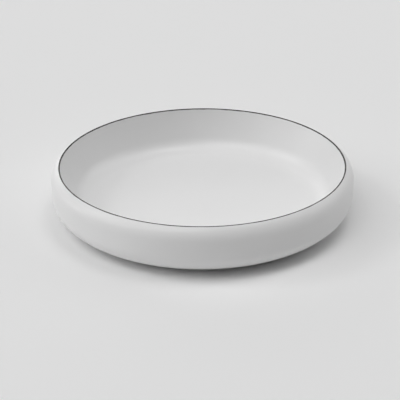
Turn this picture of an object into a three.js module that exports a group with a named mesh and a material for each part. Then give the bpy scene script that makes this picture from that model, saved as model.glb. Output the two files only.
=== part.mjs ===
// A wide, low glazed bowl with a turned-in rim and a dark line round its lip.
// Millimetres, +Z up. The origin is the centre of the ground that the bowl stands on.
import * as THREE from "three";

const widestDiameter = 230; // over the finished surface

// Outside, from the ground up
const heelClearance = 1.4; // ground to the lowest glaze of the heel
const heelRise = 18.2; // rounded heel, up to the wall
const heelReach = 27.5; // rounded heel, in from the wall
const wallRise = 10.8; // upright wall
const shoulderRise = 10.8; // turned-in shoulder, up to the crest

// Inside
const insideLean = THREE.MathUtils.degToRad(22); // inner wall, from upright
const floorThickness = 5; // finished floor within the foot ring
const cornerRadius = 15.2; // rounded corner between the inner wall and the floor

// Lip
const lipInset = 6.4; // crest of the lip, in from the widest
const lipThickness = 0.9; // finished, as a round crest
const lipOuterAngle = THREE.MathUtils.degToRad(58); // where the shoulder leaves the round, above level
const lineLap = 0.25; // how far the dark line runs on past the round, on each side

// Coats
const glazeThickness = 0.4;
const lineThickness = 0.2; // the dark line, and the glaze where it thins out at the lip

// Foot ring
const footInset = 3; // flat of the underside between the heel and the ring
const footWidth = 6;
const footBevel = 0.8; // edges that meet the ground
const footHeight = 4.7; // ground to the glazed base within the ring

// Facets
const facetsAround = 56;
const heelSteps = 6;
const shoulderSteps = 5;
const lipSteps = 4;
const cornerSteps = 6;

const widestRadius = widestDiameter / 2;
const lipRadius = lipThickness / 2;
const heelRadius = widestRadius - heelReach;
const footRadius = heelRadius - footInset;
const footInnerRadius = footRadius - footWidth;

const wallBase = heelClearance + heelRise;
const wallTop = wallBase + wallRise;
const crest = wallTop + shoulderRise;
const floorLevel = footHeight + floorThickness;
const heelCentre = new THREE.Vector2(heelRadius, wallBase);
const lipCentre = new THREE.Vector2(widestRadius - lipInset, crest - lipRadius);

// The leaning inner wall touches the round of the lip and the round of the corner.
const lipInnerAngle = Math.PI - insideLean;
const cornerHeight = floorLevel + cornerRadius;
const cornerFall = (lipCentre.y - cornerHeight) * Math.sin(insideLean);
const cornerInset = (lipRadius + cornerRadius + cornerFall) / Math.cos(insideLean);
const cornerCentre = new THREE.Vector2(lipCentre.x - cornerInset, cornerHeight);

// Evenly spaced values between two, both ends included
function spread(from, to, steps) {
  return Array.from({ length: steps + 1 }, (_, i) => THREE.MathUtils.lerp(from, to, i / steps));
}

// A point of an ellipse, at an angle above the outward level
function ellipsePoint(centre, reach, rise, angle) {
  return new THREE.Vector2(centre.x + reach * Math.cos(angle), centre.y + rise * Math.sin(angle));
}

// An arc of an ellipse, from one angle round to another
function arc(centre, reach, rise, from, to, steps) {
  return spread(from, to, steps).map((angle) => ellipsePoint(centre, reach, rise, angle));
}

// One skin of the bowl, the finished surface or the clay a coat's thickness under it.
// The lists run from the foot up the outside, over the lip and down the inside.
function skin(coat, lipCoat) {
  const crestRadius = lipRadius - lipCoat;
  const outerRadius = widestRadius - coat;
  const lip = arc(lipCentre, crestRadius, crestRadius, lipOuterAngle, lipInnerAngle, lipSteps);
  const heel = arc(heelCentre, heelReach - coat, heelRise - coat, -Math.PI / 2, 0, heelSteps);

  const shoulderEnd = lip[0];
  const shoulderBend = shoulderEnd.y - (outerRadius - shoulderEnd.x) / Math.tan(lipOuterAngle);
  const shoulder = new THREE.QuadraticBezierCurve(
    new THREE.Vector2(outerRadius, wallTop),
    new THREE.Vector2(outerRadius, shoulderBend),
    shoulderEnd,
  );
  const outerLap = 1 - lineLap / (2 * shoulder.v1.distanceTo(shoulder.v2));

  const cornerRound = cornerRadius + coat;
  const corner = arc(cornerCentre, cornerRound, cornerRound, -insideLean, -Math.PI / 2, cornerSteps);
  const innerWall = new THREE.LineCurve(lip[lipSteps], corner[0]);
  const innerLap = lineLap / innerWall.getLength();

  return {
    outside: [
      new THREE.Vector2(footRadius, heelClearance + coat),
      ...heel,
      ...spread(0, outerLap, shoulderSteps).map((t) => shoulder.getPoint(t)),
    ],
    crest: [shoulder.getPoint(outerLap), ...lip, innerWall.getPoint(innerLap)],
    inside: [innerWall.getPoint(innerLap), ...corner, new THREE.Vector2(0, floorLevel - coat)],
  };
}

const finished = skin(0, 0);
const clay = skin(glazeThickness, lineThickness);

// A coat's section: out along the finished surface and back along the clay, closed on itself
function coatSection(surface, under) {
  return [...surface, ...[...under].reverse(), surface[0]];
}

// A solid of revolution about +Z, from its section as points of radius and height
function turned(name, section, colour, roughness) {
  const geometry = new THREE.LatheGeometry(section, facetsAround);
  const material = new THREE.MeshStandardMaterial({ color: colour, roughness, metalness: 0 });
  const mesh = new THREE.Mesh(geometry, material);
  mesh.name = name;
  mesh.rotation.x = Math.PI / 2;
  return mesh;
}

// The clay's base lies on the foot ring, which fills the step between the base and the heel.
const clayBase = footHeight + glazeThickness;
const claySection = [
  new THREE.Vector2(0, clayBase),
  new THREE.Vector2(footRadius, clayBase),
  ...clay.outside,
  ...clay.crest.slice(1),
  ...clay.inside.slice(1),
];

const footSection = [
  new THREE.Vector2(footInnerRadius + footBevel, 0),
  new THREE.Vector2(footRadius - footBevel, 0),
  new THREE.Vector2(footRadius, footBevel),
  new THREE.Vector2(footRadius, clayBase),
  new THREE.Vector2(footInnerRadius, clayBase),
  new THREE.Vector2(footInnerRadius, footBevel),
  new THREE.Vector2(footInnerRadius + footBevel, 0),
];

const baseSection = [
  new THREE.Vector2(0, footHeight),
  new THREE.Vector2(footInnerRadius, footHeight),
  new THREE.Vector2(footInnerRadius, clayBase),
  new THREE.Vector2(0, clayBase),
];

// Down to the centre of the floor along the glaze, and back out along the clay
const innerSection = coatSection(finished.inside, clay.inside);

const bowl = new THREE.Group();
bowl.add(
  turned("clay_body", claySection, 0xd9d4cb, 0.85),
  turned("foot_ring", footSection, 0xcfc8bc, 0.9),
  turned("outer_glaze", coatSection(finished.outside, clay.outside), 0xeeeeec, 0.35),
  turned("inner_glaze", innerSection, 0xeeeeec, 0.35),
  turned("base_glaze", baseSection, 0xeeeeec, 0.35),
  turned("rim_line", coatSection(finished.crest, clay.crest), 0x3a3733, 0.45),
);

export default bowl;
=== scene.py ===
"""A wide, low glazed bowl with a dark line on its lip.

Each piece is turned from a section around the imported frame.
The bowl stands on a pale floor in soft studio light.
"""

import math

import bpy
from bpy.props import FloatProperty, FloatVectorProperty, IntProperty, PointerProperty
from mathutils import Matrix, Vector


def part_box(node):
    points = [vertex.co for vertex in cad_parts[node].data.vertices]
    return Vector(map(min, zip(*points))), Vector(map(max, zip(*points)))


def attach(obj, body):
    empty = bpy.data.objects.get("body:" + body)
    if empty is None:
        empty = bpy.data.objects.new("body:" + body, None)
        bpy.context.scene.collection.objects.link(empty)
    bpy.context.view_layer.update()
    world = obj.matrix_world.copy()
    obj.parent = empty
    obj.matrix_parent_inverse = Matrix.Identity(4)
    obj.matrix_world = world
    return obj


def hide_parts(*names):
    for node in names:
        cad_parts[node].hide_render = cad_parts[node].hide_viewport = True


bl_info = {
    "name": "Low Bowl With a Rim Line",
    "version": (1, 0, 0),
    "blender": (4, 5, 0),
    "location": "View3D > Sidebar > Bowl",
    "description": "Turns a wide, low glazed bowl piece by piece, on a pale studio floor",
    "category": "Add Mesh",
}

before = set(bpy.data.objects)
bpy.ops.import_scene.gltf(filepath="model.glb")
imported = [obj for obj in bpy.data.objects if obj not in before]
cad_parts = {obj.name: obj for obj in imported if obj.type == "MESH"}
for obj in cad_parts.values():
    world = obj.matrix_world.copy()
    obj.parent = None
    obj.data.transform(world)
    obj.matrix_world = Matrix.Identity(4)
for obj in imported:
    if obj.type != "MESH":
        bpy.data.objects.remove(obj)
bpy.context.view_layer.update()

MM = 0.001
BODY = "root"

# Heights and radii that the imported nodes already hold
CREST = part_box("rim_line")[1].z
WIDEST_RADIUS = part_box("outer_glaze")[1].x
HEEL_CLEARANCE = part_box("outer_glaze")[0].z
FOOT_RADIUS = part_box("foot_ring")[1].x
FOOT_INNER_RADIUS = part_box("base_glaze")[1].x
BASE_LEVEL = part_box("base_glaze")[0].z
CLAY_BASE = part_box("base_glaze")[1].z
GLAZE_THICKNESS = CLAY_BASE - BASE_LEVEL
FLOOR_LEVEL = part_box("inner_glaze")[0].z + GLAZE_THICKNESS


class BowlSizes(bpy.types.PropertyGroup):
    """Sizes of the bowl's turned sections"""

    heel_rise: FloatProperty(
        name="Heel Rise", description="Rounded heel, up to the wall",
        default=18.2 * MM, unit="LENGTH", precision=4,
    )
    heel_reach: FloatProperty(
        name="Heel Reach", description="Rounded heel, in from the wall",
        default=27.5 * MM, unit="LENGTH", precision=4,
    )
    shoulder_rise: FloatProperty(
        name="Shoulder Rise", description="Turned-in shoulder",
        default=10.8 * MM, unit="LENGTH", precision=4,
    )
    inside_lean: FloatProperty(
        name="Inside Lean", description="Inner wall, from upright",
        default=math.radians(22), subtype="ANGLE",
    )
    corner_radius: FloatProperty(
        name="Corner Radius", description="Round between inner wall and floor",
        default=15.2 * MM, unit="LENGTH", precision=4,
    )
    lip_inset: FloatProperty(
        name="Lip Inset", description="Crest of the lip, in from the widest",
        default=6.4 * MM, unit="LENGTH", precision=4,
    )
    lip_thickness: FloatProperty(
        name="Lip Thickness", description="Round crest of the lip",
        default=0.9 * MM, unit="LENGTH", precision=5,
    )
    lip_outer_angle: FloatProperty(
        name="Lip Outer Angle", description="Where the shoulder leaves the lip, above level",
        default=math.radians(58), subtype="ANGLE",
    )
    line_lap: FloatProperty(
        name="Line Lap", description="How far the dark line runs on past the lip's round",
        default=0.25 * MM, unit="LENGTH", precision=5,
    )
    line_thickness: FloatProperty(
        name="Line Thickness", description="The dark line over the clay",
        default=0.2 * MM, unit="LENGTH", precision=5,
    )
    foot_bevel: FloatProperty(
        name="Foot Bevel", description="Edges of the foot that meet the ground",
        default=0.8 * MM, unit="LENGTH", precision=5,
    )
    waver: FloatProperty(
        name="Waver", description="Most that the hand-turned wall draws in from true",
        default=0.25 * MM, unit="LENGTH", precision=5,
    )
    segments: IntProperty(
        name="Segments", description="Steps round the bowl",
        default=240, min=24,
    )
    curve_steps: IntProperty(
        name="Curve Steps", description="Steps along each curve of a section",
        default=16, min=4,
    )


class BowlFinish(bpy.types.PropertyGroup):
    """Colours and gloss of the bowl's glaze, line and clay"""

    glaze_colour: FloatVectorProperty(
        name="Glaze", description="White glaze at its full thickness",
        default=(0.88, 0.879, 0.879), subtype="COLOR",
    )
    glaze_cloud: FloatVectorProperty(
        name="Glaze Cloud", description="White glaze where it lies a little thinner",
        default=(0.86, 0.859, 0.859), subtype="COLOR",
    )
    pinhole_colour: FloatVectorProperty(
        name="Pinhole", description="Clay seen through a pinhole in the glaze",
        default=(0.5, 0.47, 0.43), subtype="COLOR",
    )
    glaze_roughness: FloatProperty(
        name="Glaze Roughness", description="Satin of the glaze",
        default=0.36, min=0.0, max=1.0, subtype="FACTOR",
    )
    line_colour: FloatVectorProperty(
        name="Line", description="Iron line on the lip",
        default=(0.012, 0.011, 0.0105), subtype="COLOR",
    )
    line_streak: FloatVectorProperty(
        name="Line Streak", description="Iron line where the brush left less",
        default=(0.03, 0.027, 0.025), subtype="COLOR",
    )
    line_edge: FloatVectorProperty(
        name="Line Edge", description="Iron line where it thins into the glaze",
        default=(0.07, 0.066, 0.062), subtype="COLOR",
    )
    clay_colour: FloatVectorProperty(
        name="Clay", description="Fired clay",
        default=(0.6, 0.545, 0.47), subtype="COLOR",
    )
    clay_speck: FloatVectorProperty(
        name="Clay Speck", description="Dark grog in the clay",
        default=(0.2, 0.165, 0.13), subtype="COLOR",
    )


class BowlStage(bpy.types.PropertyGroup):
    """Floor, light and camera"""

    floor_colour: FloatVectorProperty(
        name="Floor", description="Pale studio floor",
        default=(0.925, 0.925, 0.925), subtype="COLOR",
    )
    floor_size: FloatProperty(
        name="Floor Size", description="Side of the square floor",
        default=60.0, unit="LENGTH",
    )
    backdrop_level: FloatProperty(
        name="Backdrop Level", description="Light of the backdrop as it is seen, of the floor's colour",
        default=0.82, min=0.0,
    )
    fill_level: FloatProperty(
        name="Fill Level", description="Light of the room on the bowl, of the floor's colour",
        default=0.02, min=0.0,
    )
    camera_distance: FloatProperty(
        name="Camera Distance", description="Camera to the middle of the rim",
        default=0.989, unit="LENGTH",
    )
    camera_height: FloatProperty(
        name="Camera Height", description="Camera's angle above the rim",
        default=math.radians(24.18), subtype="ANGLE",
    )
    camera_roll: FloatProperty(
        name="Camera Roll", description="Camera's turn about its own line of sight",
        default=math.radians(-0.34), subtype="ANGLE",
    )
    camera_lens: FloatProperty(
        name="Lens", description="Focal length in millimetres",
        default=117.0, subtype="DISTANCE_CAMERA",
    )
    aim_left: FloatProperty(
        name="Aim Left", description="Aim, left of the rim's middle as seen",
        default=1.86 * MM, unit="LENGTH", precision=5,
    )
    aim_below: FloatProperty(
        name="Aim Below", description="Aim, below the rim's middle as seen",
        default=29.25 * MM, unit="LENGTH", precision=5,
    )


# Sections, as points of radius and height

UNDERSIDE_STEPS = 2


def spread(start, end, steps):
    """Evenly spaced values between two, both ends included."""
    return [start + (end - start) * i / steps for i in range(steps + 1)]


def arc(centre, reach, rise, start, end, steps):
    """An arc of an ellipse, between two angles above the outward level."""
    angles = spread(start, end, steps)
    return [Vector((centre.x + reach * math.cos(a), centre.y + rise * math.sin(a))) for a in angles]


def bend(first, control, last, steps):
    """A quadratic curve that leaves first and meets last along the lines to control."""
    shares = spread(0, 1, steps)
    return [first * (1 - t) ** 2 + control * 2 * t * (1 - t) + last * t**2 for t in shares]


def straight(first, last, steps):
    """Points of a straight run."""
    return [first.lerp(last, t) for t in spread(0, 1, steps)]


def skin(sizes, coat, lip_coat):
    """The bowl's skin under a coat, as lists of points.

    The outside runs up to the line, the crest over the lip, and the inside down to the axis.
    """
    steps = sizes.curve_steps
    lip_radius = sizes.lip_thickness / 2
    crest_radius = lip_radius - lip_coat
    outer_radius = WIDEST_RADIUS - coat
    wall_base = HEEL_CLEARANCE + sizes.heel_rise
    wall_top = CREST - sizes.shoulder_rise
    lip_centre = Vector((WIDEST_RADIUS - sizes.lip_inset, CREST - lip_radius))
    heel_centre = Vector((WIDEST_RADIUS - sizes.heel_reach, wall_base))

    # The leaning inner wall touches the round of the lip and the round of the corner.
    lean = sizes.inside_lean
    corner_height = FLOOR_LEVEL + sizes.corner_radius
    corner_fall = (lip_centre.y - corner_height) * math.sin(lean)
    corner_inset = (lip_radius + sizes.corner_radius + corner_fall) / math.cos(lean)
    corner_centre = Vector((lip_centre.x - corner_inset, corner_height))
    corner_round = sizes.corner_radius + coat

    heel = arc(heel_centre, sizes.heel_reach - coat, sizes.heel_rise - coat, -math.pi / 2, 0, steps)
    lip = arc(lip_centre, crest_radius, crest_radius, sizes.lip_outer_angle, math.pi - lean, steps)
    corner = arc(corner_centre, corner_round, corner_round, -lean, -math.pi / 2, steps)

    shoulder_bend = lip[0].y - (outer_radius - lip[0].x) / math.tan(sizes.lip_outer_angle)
    shoulder_start = Vector((outer_radius, wall_top))
    shoulder_control = Vector((outer_radius, shoulder_bend))
    shoulder = bend(shoulder_start, shoulder_control, lip[0], steps)
    outer_lap = lip[0] + (shoulder[-2] - lip[0]).normalized() * sizes.line_lap
    inner_lap = lip[-1] + (corner[0] - lip[-1]).normalized() * sizes.line_lap

    # Straight runs, in steps that suit the curves beside them
    lap_steps = steps // 4
    wall_steps = steps // 2
    floor_steps = 2 * steps
    underside_start = Vector((FOOT_RADIUS, HEEL_CLEARANCE + coat))
    underside = straight(underside_start, heel[0], UNDERSIDE_STEPS)
    wall = straight(heel[-1], shoulder[0], wall_steps)
    outer_run = straight(outer_lap, lip[0], lap_steps)
    inner_run = straight(lip[-1], inner_lap, lap_steps)
    floor = straight(corner[-1], Vector((0, FLOOR_LEVEL - coat)), floor_steps)
    return {
        "outside": underside + heel[1:] + wall[1:] + shoulder[1:-1] + [outer_lap],
        "crest": outer_run + lip[1:-1] + inner_run,
        "inside": straight(inner_lap, corner[0], steps) + corner[1:] + floor[1:],
    }


def finished_skin(sizes):
    """The bowl's finished surface, over the glaze and the line."""
    return skin(sizes, 0, 0)


def clay_skin(sizes):
    """The clay's surface, under the glaze and, at the lip, under the line."""
    return skin(sizes, GLAZE_THICKNESS, sizes.line_thickness)


def coat_section(surface, under):
    """A coat's closed section: along the finished surface, and back along what it covers."""
    return surface + under[::-1] + surface[:1]


# Nodes


def add_sockets(tree, in_out, sockets):
    """Gives a node group its named sockets."""
    for name, kind in sockets:
        tree.interface.new_socket(name, in_out=in_out, socket_type=f"NodeSocket{kind}")


def link_all(tree, pairs):
    """Joins sockets, given as pairs of output and input."""
    for out, into in pairs:
        tree.links.new(out, into)


def feed(tree, sockets, given):
    """Feeds each input from what is given for it, a socket or a value."""
    for socket, value in zip(sockets, given):
        if isinstance(value, bpy.types.NodeSocket):
            tree.links.new(value, socket)
        else:
            socket.default_value = value


def math_node(tree, operation, first, second):
    """A math node of two values, each a socket or a number."""
    node = tree.nodes.new("ShaderNodeMath")
    node.operation = operation
    feed(tree, node.inputs, (first, second))
    return node.outputs[0]


def noise_value(tree, scale, detail, place):
    """A noise texture's value at a number of bumps to the metre."""
    node = tree.nodes.new("ShaderNodeTexNoise")
    sockets = (node.inputs["Scale"], node.inputs["Detail"], node.inputs["Vector"])
    feed(tree, sockets, (scale, detail, place))
    return node.outputs[0]


TURNING = "turn a section"  # the node group that every piece comes from
WAVER_SCALE = 9.0  # bumps to the metre
WAVER_DETAIL = 1.0
MERGE_DISTANCE = 0.002 * MM
SHARP_ANGLE = math.radians(38)


def turning_tree():
    """Geometry nodes that turn a section's points about +Z into a closed, smooth surface."""
    tree = bpy.data.node_groups.new(TURNING, "GeometryNodeTree")
    add_sockets(
        tree,
        "INPUT",
        (
            ("Section", "Geometry"),
            ("Segments", "Int"),
            ("Waver", "Float"),
            ("Sharp Angle", "Float"),
            ("Material", "Material"),
        ),
    )
    add_sockets(tree, "OUTPUT", (("Turned", "Geometry"),))
    new = tree.nodes.new
    given = new("NodeGroupInput").outputs
    result = new("NodeGroupOutput")

    # A grid with a column of the section's points at each step round
    count = new("GeometryNodeAttributeDomainSize").outputs["Point Count"]
    tree.links.new(given["Section"], count.node.inputs[0])
    grid = new("GeometryNodeMeshGrid")
    columns = math_node(tree, "ADD", given["Segments"], 1)
    link_all(tree, ((columns, grid.inputs["Vertices X"]), (count, grid.inputs["Vertices Y"])))

    index = new("GeometryNodeInputIndex").outputs[0]
    column = math_node(tree, "FLOOR", math_node(tree, "DIVIDE", index, count), 0)
    row = math_node(tree, "MODULO", index, count)
    turns = math_node(tree, "DIVIDE", column, given["Segments"])
    angle = math_node(tree, "MULTIPLY", turns, math.tau)
    sample = new("GeometryNodeSampleIndex")
    sample.data_type = "FLOAT_VECTOR"
    turn = new("ShaderNodeVectorRotate")
    turn.rotation_type = "Z_AXIS"
    link_all(
        tree,
        (
            (given["Section"], sample.inputs["Geometry"]),
            (new("GeometryNodeInputPosition").outputs[0], sample.inputs["Value"]),
            (row, sample.inputs["Index"]),
            (sample.outputs[0], turn.inputs["Vector"]),
            (angle, turn.inputs["Angle"]),
        ),
    )

    # The wall draws in a little from true, the same for every coat at a place.
    outward = new("ShaderNodeVectorMath")
    outward.operation = "MULTIPLY"
    outward.inputs[1].default_value = (1, 1, 0)
    noise = noise_value(tree, WAVER_SCALE, WAVER_DETAIL, turn.outputs[0])
    drawn = math_node(tree, "MULTIPLY", noise, given["Waver"])
    share = math_node(tree, "DIVIDE", drawn, -WIDEST_RADIUS)
    inward = new("ShaderNodeVectorMath")
    inward.operation = "SCALE"
    placed = new("ShaderNodeVectorMath")
    placed.operation = "ADD"
    set_position = new("GeometryNodeSetPosition")
    link_all(
        tree,
        (
            (turn.outputs[0], outward.inputs[0]),
            (outward.outputs[0], inward.inputs[0]),
            (share, inward.inputs["Scale"]),
            (turn.outputs[0], placed.inputs[0]),
            (inward.outputs[0], placed.inputs[1]),
            (grid.outputs["Mesh"], set_position.inputs["Geometry"]),
            (placed.outputs[0], set_position.inputs["Position"]),
        ),
    )

    store = new("GeometryNodeStoreNamedAttribute")
    store.data_type = "FLOAT2"
    store.domain = "CORNER"
    store.inputs["Name"].default_value = "UVMap"
    merge = new("GeometryNodeMergeByDistance")
    merge.inputs["Distance"].default_value = MERGE_DISTANCE
    smooth = new("GeometryNodeSetShadeSmooth")
    edge_angle = new("GeometryNodeInputMeshEdgeAngle").outputs["Unsigned Angle"]
    bent = math_node(tree, "GREATER_THAN", edge_angle, given["Sharp Angle"])
    sharp = new("GeometryNodeSetShadeSmooth")
    sharp.domain = "EDGE"
    sharp.inputs["Shade Smooth"].default_value = False
    realize = new("GeometryNodeRealizeInstances")
    paint = new("GeometryNodeSetMaterial")
    link_all(
        tree,
        (
            (set_position.outputs[0], store.inputs["Geometry"]),
            (grid.outputs["UV Map"], store.inputs["Value"]),
            (store.outputs[0], merge.inputs["Geometry"]),
            (merge.outputs[0], smooth.inputs["Geometry"]),
            (smooth.outputs[0], sharp.inputs["Geometry"]),
            (bent, sharp.inputs["Selection"]),
            (sharp.outputs[0], realize.inputs[0]),
            (realize.outputs[0], paint.inputs["Geometry"]),
            (given["Material"], paint.inputs["Material"]),
            (paint.outputs[0], result.inputs[0]),
        ),
    )
    return tree


def turned_piece(name, section, material):
    """Turns a section into the named node's piece, as a plain mesh on the bowl's body."""
    sizes = bpy.context.scene.bowl_sizes
    outline = bpy.data.meshes.new(name)
    outline.from_pydata([(p.x, 0, p.y) for p in section], [], [])
    piece = bpy.data.objects.new(f"{name}_turned", outline)
    bpy.context.scene.collection.objects.link(piece)

    tree = bpy.data.node_groups.get(TURNING) or turning_tree()
    modifier = piece.modifiers.new("turn", "NODES")
    modifier.node_group = tree
    values = {
        "Segments": sizes.segments,
        "Waver": sizes.waver,
        "Sharp Angle": SHARP_ANGLE,
        "Material": material,
    }
    for item in tree.interface.items_tree:
        if item.in_out == "INPUT" and item.name in values:
            modifier[item.identifier] = values[item.name]

    evaluated = piece.evaluated_get(bpy.context.evaluated_depsgraph_get())
    piece.data = bpy.data.meshes.new_from_object(evaluated)
    piece.data.materials.pop(index=0)  # the empty slot that Set Material leaves first
    piece.modifiers.clear()
    bpy.data.meshes.remove(outline)
    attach(piece, BODY)
    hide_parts(name)


# Materials

NOISE_MIDDLE = 0.5  # of a noise texture's value
MIX_INPUTS = (0, 6, 7)  # a mix node's share, first colour and second colour
MIX_RESULT = 2

# Textures of the glaze. Here and below, a scale is in bumps to the metre.
OUTSIDE_CLOUD_SCALE = 26.0
INSIDE_CLOUD_SCALE = 20.0
UNDER_CLOUD_SCALE = 30.0
CLOUD_DETAIL = 2.0
CLOUD_ROUGHNESS = 0.08
RIPPLE_SCALE = 120.0
RIPPLE_DETAIL = 1.0
GLAZE_RELIEF = 0.006 * MM
PINHOLE_SCALE = 70.0
PINHOLE_EDGE = (0.01, 0.022)  # of a cell, where a pinhole ends
PINHOLE_PATCHES = (40.0, 0.0, 0.66)  # scale and detail of a noise, and its least value in a patch

# Textures of the dark line
STREAK_SCALE = 90.0
STREAK_DETAIL = 4.0
STREAK_EDGE = (0.45, 0.8)
RAGGED_SCALE = 220.0
RAGGED_DETAIL = 3.0
RAGGED_REACH = 0.3  # of the line's half width
LINE_EDGE = (0.0, 0.3)  # of the line's half width, in from its edge
LINE_HALVES = 4.0  # half widths of the line in its whole section, over the lip and back
LINE_ROUGHNESS = (0.45, 0.2)  # at least, and as much more on a streak
LINE_GLOSS = 0.2
LINE_RELIEF = 0.02 * MM
OUTSIDE_STAIN_REACH = 0.57 * MM
INSIDE_STAIN_REACH = 1.4 * MM
STAIN_SCALE = 160.0
STAIN_DETAIL = 3.0
STAIN_SPAN = (0.55, 0.9)  # of the stain's reach: at least, and as much more where it runs
STAIN_EDGE = (0.35, 0.65)  # of the stain's reach, where it fades

# Textures of the clay
BODY_CLAY = {"speck_scale": 420.0, "roughness": 0.8, "lightness": 1.1}
FOOT_CLAY = {"speck_scale": 520.0, "roughness": 0.82, "lightness": 1.0}
TONE_SCALE = 40.0
TONE_DETAIL = 4.0
TONE_SPAN = (0.85, 0.3)  # of the colour: at least, and as much more
GRIT_SCALE = 1800.0
GRIT_DETAIL = 3.0
GRIT_ROUGHNESS = 0.1
SPECK_EDGE = (0.16, 0.34)  # of a cell, where a speck ends
SPECK_PATCHES = (300.0, 1.0, 0.55)  # scale and detail of a noise, and its least value in a patch
SPECK_STRENGTH = 0.7
SPECK_HEIGHT = 0.6
CLAY_RELIEF = 0.06 * MM

FLOOR_ROUGHNESS = 0.9

# What the shared groups for a surface put out
SURFACE = (("Colour", "Color"), ("Roughness", "Float"), ("Height", "Float"))


def shader_group(name, inputs, outputs):
    """An empty shader node group with named sockets.

    Gives its tree, the sockets that bring its inputs in, and the sockets that take its outputs.
    """
    tree = bpy.data.node_groups.new(name, "ShaderNodeTree")
    add_sockets(tree, "INPUT", inputs)
    add_sockets(tree, "OUTPUT", outputs)
    return tree, tree.nodes.new("NodeGroupInput").outputs, tree.nodes.new("NodeGroupOutput").inputs


def ramp_value(tree, value, low, high):
    """A smooth step from 0 at low to 1 at high."""
    node = tree.nodes.new("ShaderNodeMapRange")
    node.interpolation_type = "SMOOTHSTEP"
    feed(tree, node.inputs, (value, low, high))
    return node.outputs[0]


def spanned(tree, value, span):
    """A value from 0 to 1, brought to a least and as much more."""
    least, more = span
    return math_node(tree, "ADD", least, math_node(tree, "MULTIPLY", value, more))


def mix_colour(tree, share, first, second):
    """A blend of two colours by a share, each a socket or a value."""
    node = tree.nodes.new("ShaderNodeMix")
    node.data_type = "RGBA"
    feed(tree, [node.inputs[i] for i in MIX_INPUTS], (share, first, second))
    return node.outputs[MIX_RESULT]


def colour4(colour):
    """A colour with its alpha."""
    return (*colour, 1.0)


def object_place(tree):
    """Object coordinates."""
    return tree.nodes.new("ShaderNodeTexCoord").outputs["Object"]


def patchy_dots(tree, place, scale, edge, patches):
    """Round dots, one to a cell, that only show in patches: 1 in a dot and 0 off it."""
    patch_scale, patch_detail, patch_least = patches
    cells = tree.nodes.new("ShaderNodeTexVoronoi")
    feed(tree, (cells.inputs["Vector"], cells.inputs["Scale"]), (place, scale))
    noise = noise_value(tree, patch_scale, patch_detail, place)
    kept = math_node(tree, "GREATER_THAN", noise, patch_least)
    off = ramp_value(tree, cells.outputs["Distance"], *edge)
    return math_node(tree, "MULTIPLY", math_node(tree, "SUBTRACT", 1.0, off), kept)


def glaze_skin_group():
    """Soft clouds, a few pinholes and the fine ripple of a fired glaze."""
    tree, given, result = shader_group(
        "glaze skin",
        (
            ("Colour", "Color"),
            ("Cloud Colour", "Color"),
            ("Pinhole Colour", "Color"),
            ("Cloud Scale", "Float"),
            ("Roughness", "Float"),
        ),
        SURFACE,
    )
    place = object_place(tree)
    clouds = noise_value(tree, given["Cloud Scale"], CLOUD_DETAIL, place)
    ripple = noise_value(tree, RIPPLE_SCALE, RIPPLE_DETAIL, place)
    pinhole = patchy_dots(tree, place, PINHOLE_SCALE, PINHOLE_EDGE, PINHOLE_PATCHES)

    clouded = mix_colour(tree, clouds, given["Colour"], given["Cloud Colour"])
    colour = mix_colour(tree, pinhole, clouded, given["Pinhole Colour"])
    from_middle = math_node(tree, "SUBTRACT", clouds, NOISE_MIDDLE)
    uneven = math_node(tree, "MULTIPLY", from_middle, CLOUD_ROUGHNESS)
    rough = math_node(tree, "ADD", given["Roughness"], uneven)
    height = math_node(tree, "SUBTRACT", ripple, pinhole)
    link_all(tree, zip((colour, rough, height), result))  # in the order of SURFACE
    return tree


def clay_grain_group():
    """Grog specks and grit of fired, bare clay."""
    tree, given, result = shader_group(
        "clay grain",
        (
            ("Colour", "Color"),
            ("Speck Colour", "Color"),
            ("Speck Scale", "Float"),
            ("Roughness", "Float"),
        ),
        SURFACE,
    )
    place = object_place(tree)
    tone = noise_value(tree, TONE_SCALE, TONE_DETAIL, place)
    grit = noise_value(tree, GRIT_SCALE, GRIT_DETAIL, place)
    speck = patchy_dots(tree, place, given["Speck Scale"], SPECK_EDGE, SPECK_PATCHES)

    toned = tree.nodes.new("ShaderNodeHueSaturation")
    link_all(
        tree,
        (
            (given["Colour"], toned.inputs["Color"]),
            (spanned(tree, tone, TONE_SPAN), toned.inputs["Value"]),
        ),
    )
    shown = math_node(tree, "MULTIPLY", speck, SPECK_STRENGTH)
    colour = mix_colour(tree, shown, toned.outputs[0], given["Speck Colour"])
    gritty = math_node(tree, "MULTIPLY", grit, GRIT_ROUGHNESS)
    rough = math_node(tree, "ADD", given["Roughness"], gritty)
    raised = math_node(tree, "MULTIPLY", speck, SPECK_HEIGHT)
    height = math_node(tree, "ADD", grit, raised)
    link_all(tree, zip((colour, rough, height), result))  # in the order of SURFACE
    return tree


def lip_stain_group():
    """How stained a place is by the line on the lip: 1 by the crest and 0 past an uneven reach."""
    tree, given, result = shader_group(
        "lip stain", (("Crest", "Float"), ("Reach", "Float")), (("Share", "Float"),)
    )
    place = object_place(tree)
    split = tree.nodes.new("ShaderNodeSeparateXYZ")
    tree.links.new(place, split.inputs[0])
    run = spanned(tree, noise_value(tree, STAIN_SCALE, STAIN_DETAIL, place), STAIN_SPAN)
    reach = math_node(tree, "MULTIPLY", given["Reach"], run)
    depth = math_node(tree, "SUBTRACT", given["Crest"], split.outputs["Z"])
    clear = ramp_value(tree, math_node(tree, "DIVIDE", depth, reach), *STAIN_EDGE)
    tree.links.new(math_node(tree, "SUBTRACT", 1.0, clear), result["Share"])
    return tree


def shared_group(name, make, tree, **values):
    """A shared node group placed in a material, with its own values."""
    node = tree.nodes.new("ShaderNodeGroup")
    node.node_tree = bpy.data.node_groups.get(name) or make()
    for socket, value in values.items():
        node.inputs[socket.replace("_", " ")].default_value = value
    return node.outputs


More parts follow.
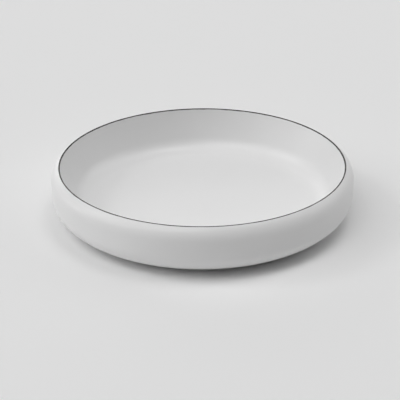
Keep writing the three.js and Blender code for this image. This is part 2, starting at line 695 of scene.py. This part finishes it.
def new_material(name):
    """An empty node material with its Principled shader: its tree and the shader's inputs."""
    material = bpy.data.materials.new(name)
    material.use_nodes = True
    return material, material.node_tree, material.node_tree.nodes["Principled BSDF"].inputs


def bump_normal(tree, height, depth, shader):
    """Raises the shader's surface by a height of so many metres."""
    bump = tree.nodes.new("ShaderNodeBump")
    bump.inputs["Distance"].default_value = depth
    link_all(tree, ((height, bump.inputs["Height"]), (bump.outputs[0], shader["Normal"])))


def lay_surface(tree, shader, surface, relief):
    """Gives the shader a shared group's colour, roughness and height."""
    link_all(
        tree,
        (
            (surface["Colour"], shader["Base Color"]),
            (surface["Roughness"], shader["Roughness"]),
        ),
    )
    bump_normal(tree, surface["Height"], relief, shader)


def glaze_material(name, cloud_scale):
    """White satin glaze."""
    finish = bpy.context.scene.bowl_finish
    material, tree, shader = new_material(name)
    coat = shared_group(
        "glaze skin",
        glaze_skin_group,
        tree,
        Colour=colour4(finish.glaze_colour),
        Cloud_Colour=colour4(finish.glaze_cloud),
        Pinhole_Colour=colour4(finish.pinhole_colour),
        Cloud_Scale=cloud_scale,
        Roughness=finish.glaze_roughness,
    )
    lay_surface(tree, shader, coat, GLAZE_RELIEF)
    return material


def stained_glaze(name, cloud_scale, reach):
    """White satin glaze that the line on the lip stains for a hair's breadth."""
    material = glaze_material(name, cloud_scale)
    tree = material.node_tree
    base = tree.nodes["Principled BSDF"].inputs["Base Color"]
    stain = shared_group("lip stain", lip_stain_group, tree, Crest=CREST, Reach=reach)["Share"]
    edge = colour4(bpy.context.scene.bowl_finish.line_edge)
    tree.links.new(mix_colour(tree, stain, base.links[0].from_socket, edge), base)
    return material


def line_material():
    """Iron line, brushed on round the lip: streaked along its length and thin at both edges."""
    finish = bpy.context.scene.bowl_finish
    material, tree, shader = new_material("iron rim line")
    uv = tree.nodes.new("ShaderNodeUVMap")
    uv.uv_map = "UVMap"
    split = tree.nodes.new("ShaderNodeSeparateXYZ")
    tree.links.new(uv.outputs[0], split.inputs[0])
    place = object_place(tree)

    # The first half of the section runs over the lip, from the line's outer edge to its inner edge.
    over_lip = math_node(tree, "MULTIPLY", split.outputs["Y"], LINE_HALVES)
    from_middle = math_node(tree, "ABSOLUTE", math_node(tree, "SUBTRACT", over_lip, 1.0), 0.0)
    from_edge = math_node(tree, "SUBTRACT", 1.0, from_middle)
    noise = noise_value(tree, RAGGED_SCALE, RAGGED_DETAIL, place)
    uneven = math_node(tree, "SUBTRACT", noise, NOISE_MIDDLE)
    ragged = math_node(tree, "ADD", from_edge, math_node(tree, "MULTIPLY", uneven, RAGGED_REACH))
    body = ramp_value(tree, ragged, *LINE_EDGE)
    streak = noise_value(tree, STREAK_SCALE, STREAK_DETAIL, place)
    thin = ramp_value(tree, streak, *STREAK_EDGE)
    tone = mix_colour(tree, thin, colour4(finish.line_colour), colour4(finish.line_streak))
    tree.links.new(mix_colour(tree, body, colour4(finish.line_edge), tone), shader["Base Color"])
    tree.links.new(spanned(tree, streak, LINE_ROUGHNESS), shader["Roughness"])
    shader["Specular IOR Level"].default_value = LINE_GLOSS
    bump_normal(tree, streak, LINE_RELIEF, shader)
    return material


def clay_material(name, speck_scale, roughness, lightness):
    """Fired clay with dark grog."""
    finish = bpy.context.scene.bowl_finish
    material, tree, shader = new_material(name)
    grain = shared_group(
        "clay grain",
        clay_grain_group,
        tree,
        Colour=colour4([c * lightness for c in finish.clay_colour]),
        Speck_Colour=colour4(finish.clay_speck),
        Speck_Scale=speck_scale,
        Roughness=roughness,
    )
    lay_surface(tree, shader, grain, CLAY_RELIEF)
    return material


# Operators


class BOWL_OT_clay_body(bpy.types.Operator):
    """Turn the fired clay: floor, leaning wall, shoulder and thin lip"""

    bl_idname = "bowl.clay_body"
    bl_label = "Clay Body"

    def execute(self, context):
        sizes = context.scene.bowl_sizes
        clay = clay_skin(sizes)
        base = straight(Vector((0, CLAY_BASE)), Vector((FOOT_RADIUS, CLAY_BASE)), sizes.curve_steps)
        section = base + clay["outside"] + clay["crest"][1:] + clay["inside"][1:]
        turned_piece("clay_body", section, clay_material("fired clay", **BODY_CLAY))
        return {"FINISHED"}


class BOWL_OT_foot_ring(bpy.types.Operator):
    """Turn the bare foot ring, with its edges eased where they meet the ground"""

    bl_idname = "bowl.foot_ring"
    bl_label = "Foot Ring"

    def execute(self, context):
        sizes = context.scene.bowl_sizes
        bevel = sizes.foot_bevel
        inner_centre = Vector((FOOT_INNER_RADIUS + bevel, bevel))
        outer_centre = Vector((FOOT_RADIUS - bevel, bevel))
        inner_edge = arc(inner_centre, bevel, bevel, -math.pi, -math.pi / 2, sizes.curve_steps)
        outer_edge = arc(outer_centre, bevel, bevel, -math.pi / 2, 0, sizes.curve_steps)
        tops = [Vector((FOOT_RADIUS, CLAY_BASE)), Vector((FOOT_INNER_RADIUS, CLAY_BASE))]
        section = inner_edge + outer_edge + tops + inner_edge[:1]
        material = clay_material("bare foot clay", **FOOT_CLAY)
        turned_piece("foot_ring", section, material)
        return {"FINISHED"}


class BOWL_OT_glaze_coats(bpy.types.Operator):
    """Turn the three coats of white glaze: outside, inside and under the base"""

    bl_idname = "bowl.glaze_coats"
    bl_label = "Glaze Coats"

    def execute(self, context):
        sizes = context.scene.bowl_sizes
        steps = sizes.curve_steps
        finished = finished_skin(sizes)
        clay = clay_skin(sizes)
        outer = coat_section(finished["outside"], clay["outside"])
        inner = clay["inside"][::-1] + finished["inside"]
        base_under = straight(Vector((0, BASE_LEVEL)), Vector((FOOT_INNER_RADIUS, BASE_LEVEL)), steps)
        base_top = straight(Vector((FOOT_INNER_RADIUS, CLAY_BASE)), Vector((0, CLAY_BASE)), steps)
        base = base_under + base_top

        outside = stained_glaze("white glaze outside", OUTSIDE_CLOUD_SCALE, OUTSIDE_STAIN_REACH)
        inside = stained_glaze("white glaze inside", INSIDE_CLOUD_SCALE, INSIDE_STAIN_REACH)
        under = glaze_material("white glaze under", UNDER_CLOUD_SCALE)
        turned_piece("outer_glaze", outer, outside)
        turned_piece("inner_glaze", inner, inside)
        turned_piece("base_glaze", base, under)
        return {"FINISHED"}


class BOWL_OT_rim_line(bpy.types.Operator):
    """Turn the dark line that caps the lip"""

    bl_idname = "bowl.rim_line"
    bl_label = "Rim Line"

    def execute(self, context):
        sizes = context.scene.bowl_sizes
        section = coat_section(finished_skin(sizes)["crest"], clay_skin(sizes)["crest"])
        turned_piece("rim_line", section, line_material())
        return {"FINISHED"}


# Studio lamps: azimuth from behind the bowl round by the left, height above level and width as seen, in
# degrees, and strength. At 1 a lamp would light a white surface that faces it to full white.
LAMPS = {
    "left_softbox": (106, 43, 54, 0.29),
    "left_strip": (82, 40, 14, 0.07),
    "left_low_panel": (78, 6, 24, 0.08),
    "front_left_top_light": (147, 66, 30, 0.165),
    "overhead": (286, 76, 30, 0.2),
    "right_panel": (293, 37, 44, 0.16),
    "back_left_panel": (19, 6, 44, 0.15),
    "back_sweep": (0, 14, 70, 0.08),
}


class BOWL_OT_stage(bpy.types.Operator):
    """Lay the pale floor, hang the soft lamps and set the camera"""

    bl_idname = "bowl.stage"
    bl_label = "Stage"

    def execute(self, context):
        stage = context.scene.bowl_stage
        scene = context.scene
        scene.view_settings.view_transform = "Standard"
        self.lay_floor(scene, stage)
        self.hang_lamps(scene)
        self.light_world(scene, stage)
        self.set_camera(scene, stage)
        return {"FINISHED"}

    def lay_floor(self, scene, stage):
        """A wide square of pale floor under the bowl."""
        half = stage.floor_size / 2
        corners = [(x, y, 0) for x, y in ((-half, -half), (half, -half), (half, half), (-half, half))]
        mesh = bpy.data.meshes.new("floor")
        mesh.from_pydata(corners, [], [range(len(corners))])
        material, _, shader = new_material("pale floor")
        shader["Base Color"].default_value = colour4(stage.floor_colour)
        shader["Roughness"].default_value = FLOOR_ROUGHNESS
        mesh.materials.append(material)
        floor = bpy.data.objects.new("floor", mesh)
        scene.collection.objects.link(floor)

    def hang_lamps(self, scene):
        """Soft lamps, far off, each turned to shine at the bowl."""
        for name, (azimuth, height, width, strength) in LAMPS.items():
            lamp = bpy.data.lights.new(name, "SUN")
            lamp.angle = math.radians(width)
            lamp.energy = strength * math.pi
            around = math.radians(azimuth)
            up = math.radians(height)
            level = math.cos(up)
            toward = Vector((-math.sin(around) * level, math.cos(around) * level, math.sin(up)))
            hung = bpy.data.objects.new(name, lamp)
            hung.rotation_euler = toward.to_track_quat("Z", "Y").to_euler()
            scene.collection.objects.link(hung)

    def light_world(self, scene, stage):
        """A faint fill, and a pale backdrop for the camera and for gloss to see."""
        world = bpy.data.worlds.new("studio")
        world.use_nodes = True
        tree = world.node_tree
        background = tree.nodes["Background"].inputs
        background["Color"].default_value = colour4(stage.floor_colour)
        ray = tree.nodes.new("ShaderNodeLightPath").outputs
        gloss = math_node(tree, "MAXIMUM", ray["Is Glossy Ray"], ray["Is Transmission Ray"])
        seen = math_node(tree, "MAXIMUM", ray["Is Camera Ray"], gloss)
        backdrop = math_node(tree, "MULTIPLY", seen, stage.backdrop_level)
        level = math_node(tree, "MAXIMUM", backdrop, stage.fill_level)
        tree.links.new(level, background["Strength"])
        scene.world = world

    def set_camera(self, scene, stage):
        """The camera in front of the bowl, at the photo's angle."""
        height = stage.camera_height
        rim_middle = Vector((0, 0, CREST))
        back = Vector((0, -math.cos(height), math.sin(height)))
        right = Vector((1, 0, 0))
        up = back.cross(right)
        place = rim_middle + back * stage.camera_distance
        aim = rim_middle - right * stage.aim_left - up * stage.aim_below
        look = (aim - place).to_track_quat("-Z", "Y").to_matrix()
        turn = look @ Matrix.Rotation(stage.camera_roll, 3, "Z")
        lens = bpy.data.cameras.new("camera")
        lens.lens = stage.camera_lens
        camera = bpy.data.objects.new("camera", lens)
        camera.matrix_world = Matrix.Translation(place) @ turn.to_4x4()
        scene.collection.objects.link(camera)
        scene.camera = camera


class BOWL_PT_sidebar(bpy.types.Panel):
    """The bowl's pieces, sizes and finish"""

    bl_idname = "BOWL_PT_sidebar"
    bl_label = "Low Bowl"
    bl_space_type = "VIEW_3D"
    bl_region_type = "UI"
    bl_category = "Bowl"

    def draw(self, context):
        layout = self.layout
        scene = context.scene
        for operator in OPERATORS:
            layout.operator(operator.bl_idname)
        for group in (scene.bowl_sizes, scene.bowl_finish, scene.bowl_stage):
            box = layout.box()
            for name in group.__annotations__:
                box.prop(group, name)


GROUPS = (BowlSizes, BowlFinish, BowlStage)
OPERATORS = (
    BOWL_OT_clay_body,
    BOWL_OT_foot_ring,
    BOWL_OT_glaze_coats,
    BOWL_OT_rim_line,
    BOWL_OT_stage,
)
CLASSES = GROUPS + OPERATORS + (BOWL_PT_sidebar,)


def register():
    for cls in CLASSES:
        bpy.utils.register_class(cls)
    bpy.types.Scene.bowl_sizes = PointerProperty(type=BowlSizes)
    bpy.types.Scene.bowl_finish = PointerProperty(type=BowlFinish)
    bpy.types.Scene.bowl_stage = PointerProperty(type=BowlStage)


def unregister():
    del bpy.types.Scene.bowl_stage
    del bpy.types.Scene.bowl_finish
    del bpy.types.Scene.bowl_sizes
    for cls in reversed(CLASSES):
        bpy.utils.unregister_class(cls)


def main():
    """Makes the bowl and its stage."""
    register()
    bpy.ops.bowl.clay_body()
    bpy.ops.bowl.foot_ring()
    bpy.ops.bowl.glaze_coats()
    bpy.ops.bowl.rim_line()
    bpy.ops.bowl.stage()


if __name__ == "__main__":
    main()
